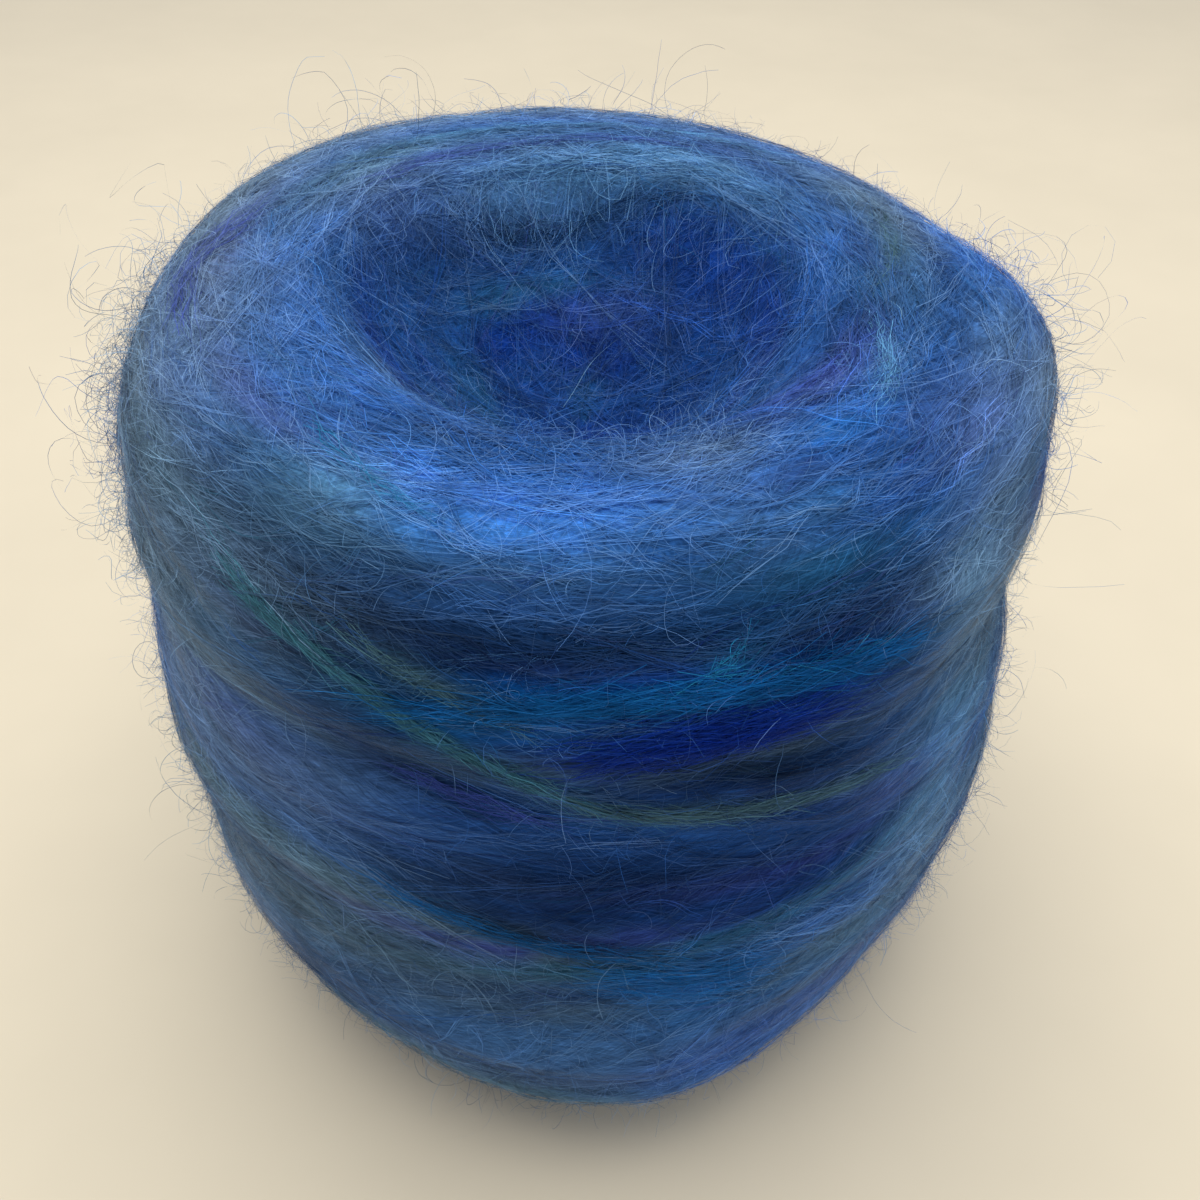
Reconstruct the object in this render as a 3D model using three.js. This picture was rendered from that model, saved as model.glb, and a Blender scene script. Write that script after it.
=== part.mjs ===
// A hand-wound ball of brushed mohair yarn, standing on its flat spot with a dished hollow in the top.
// Millimetres, +Z up, the flat spot on Z = 0, the front toward -Y.
import * as THREE from "three";

// Driving dimensions
const BALL_RADIUS = 72;
const BALL_HEIGHT = 135.5;
const FLAT_SPOT_RADIUS = 40;
const CREST_RADIUS = 42;
const HOLLOW_DEPTH = 25;

// Fineness of the form
const ROUND_STEPS = 80;
const SECTION_STEPS = 66;

// Section of the side from the flat spot up to the crest, as shares of the ball's radius and height
const SIDE_SECTION = [
  { radius: 0.7, height: 0.018 },
  { radius: 0.865, height: 0.075 },
  { radius: 0.958, height: 0.18 },
  { radius: 0.998, height: 0.34 },
  { radius: 1.0, height: 0.48 },
  { radius: 0.992, height: 0.62 },
  { radius: 0.975, height: 0.765 },
  { radius: 0.955, height: 0.87 },
  { radius: 0.925, height: 0.935 },
  { radius: 0.865, height: 0.971 },
  { radius: 0.75, height: 0.988 },
];

// Section of the hollow from the crest in to its centre, as shares of the crest radius and the depth
const HOLLOW_SECTION = [
  { radius: 0.83, depth: 0.1 },
  { radius: 0.63, depth: 0.4 },
  { radius: 0.43, depth: 0.72 },
  { radius: 0.22, depth: 0.93 },
];

// How far the ball is out of round: waves round the ball, share of the radius, direction of a crest
const OUT_OF_ROUND = [
  { waves: 2, share: 0.02, toward: 122 },
  { waves: 3, share: 0.014, toward: -15 },
];

// How far the crest stands higher on one side, and the direction of that side in degrees
const CREST_RISE = 4.2;
const CREST_RISE_TOWARD = 118;

// Main turns of the yarn. Each one circles the ball at a distance along the section, measured in
// millimetres from the centre of the flat spot, and leans up toward a direction in degrees.
// The half-width and relief are in millimetres.
const MAIN_TURNS = [
  { along: 77, lean: 7, toward: -50, halfWidth: 6.5, relief: 1.5 },
  { along: 92, lean: 10, toward: 200, halfWidth: 5.8, relief: 1.7 },
  { along: 107, lean: 15, toward: 40, halfWidth: 5.8, relief: 1.8 },
  { along: 123, lean: 11, toward: -105, halfWidth: 6.0, relief: 1.9 },
  { along: 139, lean: 18, toward: 125, halfWidth: 5.6, relief: 1.8 },
  { along: 151, lean: 17, toward: -25, halfWidth: 5.2, relief: 1.8 },
  { along: 163, lean: 23, toward: 180, halfWidth: 4.5, relief: 1.5 },
  { along: 167, lean: 4, toward: -60, halfWidth: 4.8, relief: 1.8 },
  { along: 175, lean: 4, toward: -120, halfWidth: 4.4, relief: 1.8 },
  { along: 194, lean: 3, toward: -85, halfWidth: 9.5, relief: 1.8 },
  { along: 214, lean: 4, toward: 100, halfWidth: 7.0, relief: 1.2 },
  { along: 238, lean: 4, toward: 60, halfWidth: 6.0, relief: 1.0 },
];

// Uneven places, each strongest in one direction and gone at a reach in degrees to either side:
// gaps between turns and dents, where the relief is below zero, and swellings
const UNEVEN_PLACES = [
  { along: 183, lean: 2.5, toward: -120, halfWidth: 4.8, relief: -4.2, middle: -90, reach: 66 },
  { along: 227, lean: 1.5, toward: 90, halfWidth: 4.5, relief: -1.8, middle: 96, reach: 85 },
  { along: 225, lean: 0, toward: 0, halfWidth: 6.5, relief: -3.4, middle: -90, reach: 75 },
  { along: 158, lean: 0, toward: 0, halfWidth: 15, relief: -2.4, middle: -28, reach: 32 },
  { along: 88, lean: 0, toward: 0, halfWidth: 20, relief: -3, middle: -54, reach: 26 },
  { along: 84, lean: 0, toward: 0, halfWidth: 17, relief: 4.6, middle: -80, reach: 38 },
  { along: 135, lean: 0, toward: 0, halfWidth: 45, relief: 1.8, middle: -150, reach: 42 },
  { along: 187, lean: 0, toward: 0, halfWidth: 8, relief: 4, middle: -8, reach: 28 },
  { along: 194, lean: 0, toward: 0, halfWidth: 10, relief: 1.5, middle: 152, reach: 42 },
];

// Ends of the section where the relief runs out
const FADE_AT_FLAT_SPOT = 16;
const FADE_AT_HOLLOW_CENTRE = 18;

const YARN_COLOUR = 0x34529c;

const radians = THREE.MathUtils.degToRad;

function sectionCurve() {
  const points = [new THREE.Vector3(FLAT_SPOT_RADIUS, 0, 0)];
  for (const row of SIDE_SECTION) {
    points.push(new THREE.Vector3(row.radius * BALL_RADIUS, row.height * BALL_HEIGHT, 0));
  }
  points.push(new THREE.Vector3(CREST_RADIUS, BALL_HEIGHT, 0));
  for (const row of HOLLOW_SECTION) {
    const height = BALL_HEIGHT - row.depth * HOLLOW_DEPTH;
    points.push(new THREE.Vector3(row.radius * CREST_RADIUS, height, 0));
  }
  points.push(new THREE.Vector3(0, BALL_HEIGHT - HOLLOW_DEPTH, 0));
  return new THREE.CatmullRomCurve3(points, false, "centripetal");
}

// Stations along the section, each with its place, its outward direction and its distance along
function sectionStations() {
  const curve = sectionCurve();
  curve.arcLengthDivisions = 600;
  const length = curve.getLength();
  const stations = [
    { place: new THREE.Vector2(0, 0), outward: new THREE.Vector2(0, -1), along: 0 },
    { place: new THREE.Vector2(FLAT_SPOT_RADIUS / 2, 0), outward: new THREE.Vector2(0, -1), along: 0 },
  ];
  for (let step = 0; step <= SECTION_STEPS; step += 1) {
    const share = step / SECTION_STEPS;
    const point = curve.getPointAt(share);
    const tangent = curve.getTangentAt(share);
    stations.push({
      place: new THREE.Vector2(step === SECTION_STEPS ? 0 : point.x, point.y),
      outward: new THREE.Vector2(tangent.y, -tangent.x),
      along: FLAT_SPOT_RADIUS + share * length,
    });
  }
  return stations;
}

function outOfRound(angle) {
  let share = 1;
  for (const wave of OUT_OF_ROUND) {
    share += wave.share * Math.cos(wave.waves * (angle - radians(wave.toward)));
  }
  return share;
}

// Rise of the leaning crest, growing from nothing at the flat spot
function crestRise(angle, radius, height) {
  const grown = (height / BALL_HEIGHT) ** 2;
  const facing = 0.5 + 0.5 * Math.cos(angle - radians(CREST_RISE_TOWARD));
  return CREST_RISE * grown * facing * Math.min(1, radius / CREST_RADIUS);
}

function distanceFrom(turn, angle, along) {
  const middle = turn.along + turn.lean * Math.cos(angle - radians(turn.toward));
  return (along - middle) / turn.halfWidth;
}

// Height of the yarn's relief: the highest turn at a place, with its gaps and swellings
function relief(angle, along, end) {
  let height = 0;
  for (const turn of MAIN_TURNS) {
    const off = distanceFrom(turn, angle, along);
    height = Math.max(height, turn.relief * Math.exp(-off * off));
  }
  for (const spot of UNEVEN_PLACES) {
    const off = distanceFrom(spot, angle, along);
    const from = angle - radians(spot.middle);
    const turned = Math.abs(Math.atan2(Math.sin(from), Math.cos(from)));
    const share = Math.min(1, turned / radians(spot.reach));
    height += spot.relief * Math.cos((share * Math.PI) / 2) * Math.exp(-off * off);
  }
  const fromFlatSpot = THREE.MathUtils.smoothstep(along - FLAT_SPOT_RADIUS, 0, FADE_AT_FLAT_SPOT);
  const fromCentre = THREE.MathUtils.smoothstep(end - along, 0, FADE_AT_HOLLOW_CENTRE);
  return height * fromFlatSpot * fromCentre;
}

function woundBall() {
  const stations = sectionStations();
  const end = stations[stations.length - 1].along;
  const places = stations.map((station) => station.place);
  const geometry = new THREE.LatheGeometry(places, ROUND_STEPS);
  const position = geometry.getAttribute("position");
  for (let turn = 0; turn <= ROUND_STEPS; turn += 1) {
    const angle = ((turn % ROUND_STEPS) / ROUND_STEPS) * 2 * Math.PI;
    for (let row = 0; row < stations.length; row += 1) {
      const { place, outward, along } = stations[row];
      const raised = along > FLAT_SPOT_RADIUS ? relief(angle, along, end) : 0;
      const onAxis = place.x === 0;
      const radius = onAxis ? 0 : (place.x + raised * outward.x) * outOfRound(angle);
      const level = place.y + (onAxis ? 0 : raised * outward.y);
      const height = level + crestRise(angle, radius, place.y);
      const index = turn * stations.length + row;
      position.setXYZ(index, radius * Math.cos(angle), radius * Math.sin(angle), height);
    }
  }
  geometry.computeBoundingBox();
  const middle = geometry.boundingBox.getCenter(new THREE.Vector3());
  geometry.translate(-middle.x, -middle.y, 0);
  geometry.computeVertexNormals();
  return geometry;
}

const part = new THREE.Group();
const yarn = new THREE.MeshStandardMaterial({ name: "mohair", color: YARN_COLOUR, roughness: 0.95 });
const ball = new THREE.Mesh(woundBall(), yarn);
ball.name = "wound_ball";
part.add(ball);

export default part;
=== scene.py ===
"""Looks of a hand-wound ball of brushed mohair yarn: fine turns, dyes, nap, halo and stray hairs."""

import math
from collections import namedtuple
from functools import cache

import bpy
import numpy as np
from bpy.props import FloatProperty, FloatVectorProperty, IntProperty, PointerProperty
from mathutils import Matrix, Vector
from mathutils.bvhtree import BVHTree


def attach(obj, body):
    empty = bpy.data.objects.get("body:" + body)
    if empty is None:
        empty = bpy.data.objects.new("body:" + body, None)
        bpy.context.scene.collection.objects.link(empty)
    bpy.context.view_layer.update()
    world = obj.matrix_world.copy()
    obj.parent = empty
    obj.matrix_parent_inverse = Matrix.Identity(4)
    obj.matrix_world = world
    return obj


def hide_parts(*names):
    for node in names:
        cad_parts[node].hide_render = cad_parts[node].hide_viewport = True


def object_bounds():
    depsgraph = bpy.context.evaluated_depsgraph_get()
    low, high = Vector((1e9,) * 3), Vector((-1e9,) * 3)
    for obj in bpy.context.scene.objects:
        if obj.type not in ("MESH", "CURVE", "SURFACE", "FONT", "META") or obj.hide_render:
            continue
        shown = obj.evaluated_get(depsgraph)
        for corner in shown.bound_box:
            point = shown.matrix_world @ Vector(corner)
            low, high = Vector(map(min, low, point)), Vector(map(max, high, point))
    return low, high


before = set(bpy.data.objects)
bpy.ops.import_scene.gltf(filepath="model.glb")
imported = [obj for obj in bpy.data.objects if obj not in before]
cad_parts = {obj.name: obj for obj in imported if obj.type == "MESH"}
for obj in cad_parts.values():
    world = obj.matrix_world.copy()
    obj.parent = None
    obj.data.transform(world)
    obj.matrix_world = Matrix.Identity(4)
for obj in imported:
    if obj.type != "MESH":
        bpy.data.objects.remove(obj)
CAD_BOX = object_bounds()

bl_info = {
    "name": "Wound mohair ball",
    "version": (1, 0, 0),
    "blender": (4, 5, 0),
    "location": "3D View > Sidebar > Yarn",
    "description": "Dresses a wound ball of brushed, dyed mohair yarn with turns, nap and loose hairs",
    "category": "Object",
}

# A millimetre in metres, a centimetre in millimetres, a full turn, and the least length to divide by
MM = 0.001
CENTIMETRE = 10.0
TAU = 2 * math.pi
TINY = 1e-9

NODE = "wound_ball"

# First numbers of the random draws
SEEDS = {"turns": 11, "dyes": 23, "nap": 101, "strands": 151, "halo": 211, "fuzz": 257, "strays": 307}

# Grid of the measured form: steps round the ball and rows from the flat spot to the hollow's centre, those
# of a first survey, how often the facets are evened, and the core and least radius in millimetres
ROUND_STEPS = 300
SECTION_ROWS = 196
LAST_ROW = SECTION_ROWS - 1.001
SURVEY_STEPS = 24
SURVEY_ROWS = 241
SURVEY_SHIFT = 0.25
FACET_SOFTENING = 4
CORE_HEIGHT = 60.0
LEAST_RADIUS = 2.0

# Room that loose hairs may take past the form's own box, in millimetres
HAIR_ROOM = 13.0
FLOOR_CLEARANCE = 0.15

# Where the fine turns begin and end along the section, and where the top begins, in millimetres
TURNS_BEGIN = 46.0
TURNS_FADE_IN = 14.0
TURNS_FADE_OUT = (2.0, 15.0)
TOP_BEGINS = 190.0

# A turn's place in its pitch and its half-width, as shares of the pitch, and its share of the most lean
TURN_PLACES, TURN_HALF_WIDTHS, LEAN_SHARES = (0.2, 0.8), (0.8, 1.1), (0.35, 1.0)

# How far the turns lean, and how high they lie over each other, at distances along the section
TURN_LEANS = ((50.0, 80.0, 175.0, 195.0, 230.0), (3.0, 11.0, 12.0, 4.0, 3.0))
TURN_LAYERS = ((185.0, 205.0), (0.8, 0.3))

# Relief of the turns: how round they are, the least share of it, its evening, how far it is lowered on
# top and between which distances, how deep it is sunk in the form, and how far painted shade darkens the
# gaps
TURN_ROUNDNESS = 0.7
LEAST_RELIEF = 0.5
RELIEF_SOFTENING = 3
GAP_SOFTENING = 14
TOP_LOWERING = 0.45
TOP_LOWERED = (186.0, 204.0)
TURNS_SUNK = 0.8
PAINTED_GAP_SHADE = 0.45

# How many colours a turn has, where one blends into the next, and how far apart the turns' streaks are
COLOUR_STOPS = 6
COLOUR_BLEND = (0.15, 0.85)
LAY_SHIFT = 37.0

# Streaks of the packed fibres and of single hairs: their scale, detail and offset, and range of shade
NOISE_LOW, NOISE_HIGH = 0.3, 0.7
STREAK_ROUGHNESS = 0.62
FINE_STREAKS, FINE_SHADE = ((6.0, 6.0, 3.2), 5.0, 0.0), (0.7, 1.3)
BROAD_STREAKS, BROAD_SHADE = ((3.0, 3.0, 0.55), 3.0, 19.0), (0.8, 1.22)
HAIR_STREAKS, HAIR_STREAK_SHADE = ((160.0, 160.0, 160.0), 2.0, 3.0), (0.8, 1.2)
STREAK_BUMP = {"Strength": 0.3, "Distance": 0.5 * MM}

# Leans of the hairs that cross the winding, in radians about X and Y, and a shift of each one's noise
TANGLE_LEANS = (((0.3, 0.34, 0.0), 0.0), ((-0.34, -0.3, 0.0), 0.7), ((0.6, -0.52, 0.0), 1.3))
TANGLE_SIZE = (3.4 * MM, 3.4 * MM, 0.24 * MM)
TANGLE_DETAIL, TANGLE_ROUGHNESS = 2.0, 0.55
TANGLE_SHADE = (0.77, 1.24)

# Finish of the yarn, with a sheen that shows where the surface turns away
TURNS_ROUGHNESS, HAIR_ROUGHNESS = 0.9, 0.62
FIBRE_SPECULAR = 0.03
SHEEN_ROUGHNESS = 0.2
SHEEN_TINT = (0.72, 0.8, 0.9, 1.0)
TURNS_SHEEN, NAP_SHEEN, STRAND_SHEEN = 0.4, 0.4, 0.3
HALO_SHEEN, FUZZ_SHEEN, STRAY_SHEEN = 0.1, 0.12, 0.1

# Points along a lying hair, a halo hair, a hair of the fuzz and a long stray hair
NAP_POINTS, HALO_POINTS, FUZZ_POINTS, STRAY_POINTS = 6, 6, 9, 17

# Bands of hairs, each a piece of its own: where it begins and ends along the section in millimetres, its
# share of the mean number of hairs, and whether its hairs lie across the top
Band = namedtuple("Band", "piece low high share on_top", defaults=(False,))
SIDE_NAP = (Band("nap_side_low", 44.0, 128.0, 1.2), Band("nap_side_high", 120.0, 188.0, 1.2))
HALO_BANDS = (Band("halo_side", 48.0, 186.0, 1.2), Band("halo_top", 176.0, math.inf, 0.8))
FUZZ_BANDS = (Band("fuzz_side", 60.0, 190.0, 1.25), Band("fuzz_top", 184.0, math.inf, 0.75))

# The nap of the rim, which ends past the crest, and that of the hollow, which begins short of it
RIM_NAP_BEGINS, RIM_NAP_PAST_CREST, RIM_NAP_SHARE = 182.0, 2.0, 0.85
HOLLOW_NAP_SHORT_OF_CREST, HOLLOW_NAP_SHARE = 8.0, 0.75

# Lengths of hairs as shares of the mean one: shape and scale of their spread, and its limits
Lengths = namedtuple("Lengths", "shape scale least most")
NAP_LENGTHS = Lengths(5.0, 0.2, 0.35, 2.2)
HALO_LENGTHS = Lengths(2.6, 0.38, 0.25, 2.4)
FUZZ_LENGTHS = Lengths(4.0, 0.25, 0.3, 2.2)

# Widths of hairs as shares of the middling one, a hair's taper, and the margin of its cell of the map
WIDTHS, HALO_WIDTHS, STRAY_WIDTHS = (0.6, 1.3), (0.7, 1.3), (0.7, 1.2)
TIP_WIDTH, TIP_INSET, TIP_FULLNESS = 0.25, 0.12, 0.8
MAP_INSET = 0.15

# How far the nap wanders off the winding at distances along the section and how far it rolls, in
# radians, and its height over the turns and the rise of a hair's middle and ends, in millimetres
NAP_WANDER = ((60.0, 120.0, 145.0, 190.0, 202.0, 234.0, 246.0), (0.75, 0.55, 0.28, 0.24, 0.4, 0.45, 0.9))
MOST_WANDER = 1.4
NAP_ROLL = 0.3
NAP_LIFT = (0.03, 0.5)
MIDDLE_RISE, END_RISE = 0.15, 0.3

# Waves of a lying hair, their size and length in millimetres, its bow as a share of its length, and
# where the bow crosses the hair's straight line
WAVE_SIZES, WAVE_LENGTHS = (0.1, 0.9), (7, 16)
BOW, BOW_CROSSING = 0.15, 0.08

# How far the hairs of a wisp lie from its middle line, and fan out at its ends, in millimetres, and how
# far they lie before or behind each other, as a share of their length
WISP_SPREAD = 0.22
WISP_FAN = 1.3
WISP_STAGGER = 0.12

# A laid strand: spread of its hairs and its edge as shares of its half-width, height over the turns, and
# of its middle over its edges at most, in millimetres, how far its hairs fill that and wander in radians,
# how much of its dye they keep, and how evenly its path is drawn
STRAND_SPREAD, STRAND_EDGE = 0.5, 1.2
STRAND_LIFT = 0.15
MOUND_SHARE, MOST_MOUND, MOUND_FILL = 0.45, 0.9, (0.3, 1.0)
STRAND_WANDER = 0.07
STRAND_SHADE = 0.25
STRAND_DYE_KEPT = (0.45, 1.0)
PATH_STEPS, PATH_SOFTENING = 120, 60

# Curling hairs: height of their roots and clearance over the yarn in millimetres, lean up the ball as a
# share of that round it, the share of its standing that a hair reaches, sway, and for the halo and the
# fuzz the curl in turns a centimetre, how far they stand out, and the outward drift of their curls
ROOT_LIFT, CLEARANCE = 0.1, 0.25
LEAN_UP = 0.6
STAND_SHARES = (0.35, 1.0)
HAIR_SWAY, CURL_SWAY = 0.06, 0.12
HALO_CURLS, HALO_STANDS, HALO_DRIFT = (0.1, 0.8), (0.15, 0.75), 0.6
FUZZ_CURLS, FUZZ_STANDS, FUZZ_DRIFT = (0.1, 0.6), (0.0, 0.3), 1.0

# How thick the fuzz is at distances along the section, as a share, how close it lies, and how much its
# hairs tumble
FUZZ_LIKING = (
    (60.0, 100.0, 135.0, 165.0, 190.0, 215.0, 228.0),
    (1.8, 2.3, 1.5, 0.7, 0.6, 1.1, 2.6),
)
FUZZ_CLEARANCE, FUZZ_SETTLING = 0.3, 0.4
FUZZ_TUMBLE = 0.6

# Loose locks and single hairs: spread of a lock's roots, their distance from the hollow's centre in
# millimetres, shares of its length and curl, and the evening, clearance and bleached colour of single
# hairs
LOCK_SPREAD, LOCK_INSET = 0.6, 4.0
LOCK_LENGTHS, LOCK_CURLS = (0.45, 1.2), (0.4, 1.4)
FREE_HAIR_SOFTENING, FREE_HAIR_CLEARANCE = 5, 0.3
BLEACHED_SKY, BLEACHED_HAZE = 0.6, 0.7

# How pale the palest hairs are, for the fuzz at distances along the section
NAP_PALE, STRAND_PALE, HALO_PALE = 0.16, 0.06, 0.4
FUZZ_PALE = ((60.0, 130.0, 180.0, 198.0, 212.0, 225.0), (0.5, 0.4, 0.26, 0.24, 0.34, 0.9))

# Dyes along hairs: how shades vary among wisps and hairs, the share and strength of other-coloured
# wisps, how hairs fade, what a pale hair is mixed from, and the share of the dye at a hair's root
WISP_SHADE, HAIR_SHADE = 0.3, 0.1
MIXED_SHARE, MIXED_STRENGTH = 0.14, (0.2, 0.7)
FADING, FADING_BY_LIGHT, MOST_FADED = (0.7, 1.5), 1.5, 0.9
PALE_HAZE, PALE_UNDER, LIGHTEST = 0.55, 1.1, 0.95
ROOT_DYE = 0.4

# Weights of red, green and blue in a dye's lightness, that of a middling dye, and its limits
LIGHTNESS_WEIGHTS = (0.4, 0.5, 0.1)
MIDDLING_DYE = 0.09
LIGHTNESS_LIMITS = (0.15, 2.0)

# Half the width of the floor and the places, sizes and aim of the lights in metres, and their colours
FLOOR_REACH = 30.0
FLOOR_MOTTLE, FLOOR_SHADE = ((14.0, 14.0, 14.0), 3.0, 7.0), (0.975, 1.02)
FLOOR_ROUGHNESS, FLOOR_SPECULAR = 0.55, 0.3
KEY_PLACE, KEY_SIZE, KEY_TINT = (-0.04, 0.1, 0.97), 1.1, (1.0, 0.93, 0.76)
FILL_PLACE, FILL_SIZE, FILL_TINT = (0.85, -0.05, 0.42), 0.7, (1.0, 0.98, 0.95)
FILL_SHARE = 0.08
ROOM_TINT = (1.0, 0.99, 0.97, 1.0)
LIGHTS_AIM = (0.0, 0.0, 0.07)

# The camera's lens and film in millimetres, the height that it looks at and its nearest view in metres,
# and how far it turns aside and up from there, as pixels of a picture of a given width
LENS = 36.0
FILM_WIDTH = 36.0
CAMERA_AIM = 0.068
NEAREST_VIEW = 0.01
PICTURE_WIDTH = 1200.0
LOOK_ASIDE, LOOK_UP = -14.0, 11.0

# Crossing strands that lie over the other turns: distance along the section, lean toward a direction
# in degrees, half-width and height in millimetres
Strand = namedtuple("Strand", "along lean toward half_width height")
CROSSING_STRANDS = (
    Strand(161.0, 24.0, 178, 1.7, 1.1),
    Strand(165.5, 9.5, 168, 1.8, 1.0),
    Strand(177.0, 3.5, -128, 3.0, 0.9),
    Strand(170.5, 3.0, -50, 4.2, 0.9),
    Strand(133.0, 20.0, 30, 3.6, 0.8),
    Strand(118.0, 16.0, -140, 4.0, 0.8),
    Strand(150.0, 21.0, 75, 3.6, 0.8),
    Strand(104.0, 12.0, -35, 4.0, 0.7),
)

# Shares of the dyes in each zone of the ball, from a distance along the section on
Zone = namedtuple("Zone", "along shares")
DYE_ZONES = (
    Zone(0, {"slate": 0.34, "steel": 0.34, "navy": 0.14, "sea": 0.1, "cobalt": 0.03, "violet": 0.05}),
    Zone(
        140,
        {
            "navy": 0.2,
            "ultramarine": 0.13,
            "teal": 0.15,
            "slate": 0.2,
            "cobalt": 0.14,
            "violet": 0.1,
            "steel": 0.08,
        },
    ),
    Zone(188, {"cobalt": 0.32, "royal": 0.24, "steel": 0.16, "violet": 0.16, "sea": 0.06, "navy": 0.06}),
    Zone(224, {"navy": 0.3, "royal": 0.32, "ultramarine": 0.22, "violet": 0.1, "sea": 0.06}),
)
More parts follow.
